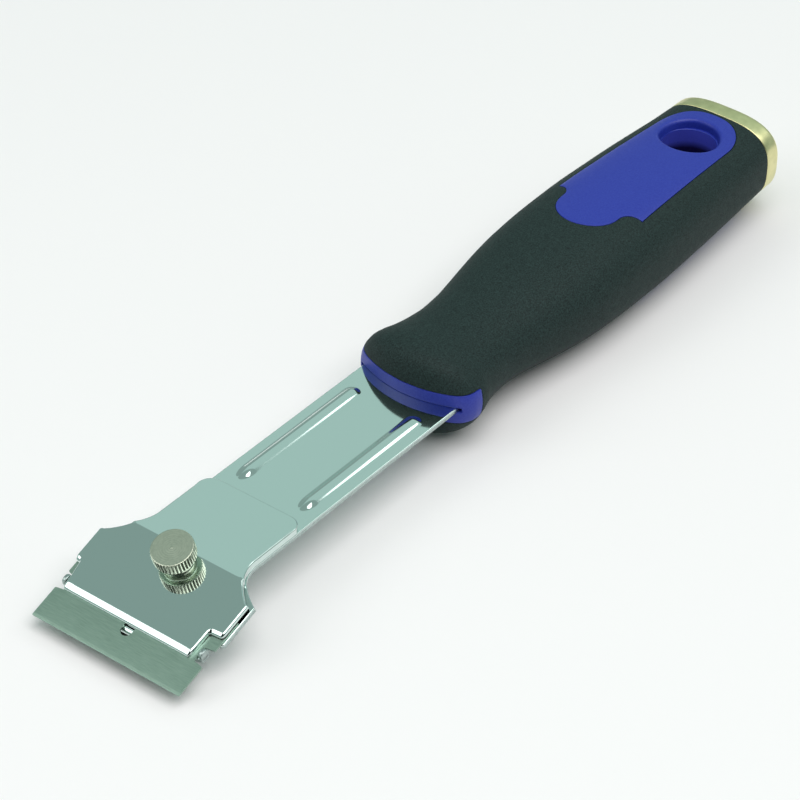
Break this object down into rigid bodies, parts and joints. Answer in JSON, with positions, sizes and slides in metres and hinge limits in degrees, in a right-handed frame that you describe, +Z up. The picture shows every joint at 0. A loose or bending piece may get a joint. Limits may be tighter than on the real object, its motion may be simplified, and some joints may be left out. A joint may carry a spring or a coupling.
{
  "type": "floor scraper",
  "caption": "Hand floor scraper: wide razor blade clamped on an angled sprung shank by a plate and knurled thumb screw, with a soft-grip handle, hang hole and striking cap.",
  "frame": {"origin": "centre of the bounding box on its bottom face, under the middle of the tool, on the surface that it lies on", "axes": "+X from the blade to the butt, +Y across the blade, +Z up, at right angles to the flat shank"},
  "size_m": [0.2192, 0.039, 0.0239],
  "materials": {
    "chrome": "mirror-polished chrome plating on sheet steel",
    "blade_steel": "satin, brushed along the edge, with ground bevels",
    "nickel": "bright nickel plating, turned top face, straight knurl",
    "zinc": "bright zinc plating",
    "blue_plastic": "satin moulded plastic",
    "soft_grip": "matte soft-touch elastomer, fine grain",
    "gold_plate": "satin pale yellow-green plated cap"
  },
  "bodies": {
    "tool": {"shank": "chrome", "clinch_nut": "zinc", "handle_core": "blue_plastic", "grip": "soft_grip", "hammer_cap": "gold_plate", "tang_pin_front": "zinc", "tang_pin_rear": "zinc"},
    "clamp": {"clamp_plate": "chrome"},
    "screw": {"thumb_screw": "nickel"},
    "blade": {"blade": "blade_steel"}
  },
  "joints": [
    {"name": "clamp_lift", "type": "slide", "parent": "tool", "child": "clamp", "axis": [-0.3322, 0, 0.9432], "range_m": [0, 0.0021]},
    {"name": "thumb_screw_turn", "type": "hinge", "parent": "clamp", "child": "screw", "pos_m": [-0.08685, 0, 0.01092], "axis": [-0.3322, 0, 0.9432], "range_deg": [0, 1080]},
    {"name": "blade_release", "type": "slide", "parent": "tool", "child": "blade", "axis": [-0.3322, 0, 0.9432], "range_m": [0, 0.00135]}
  ],
  "couplings": [
    {"joint": "thumb_screw_turn", "follows": "clamp_lift", "rad_per_m": 8975.9},
    {"joint": "blade_release", "follows": "clamp_lift", "ratio": 0.64285}
  ]
}
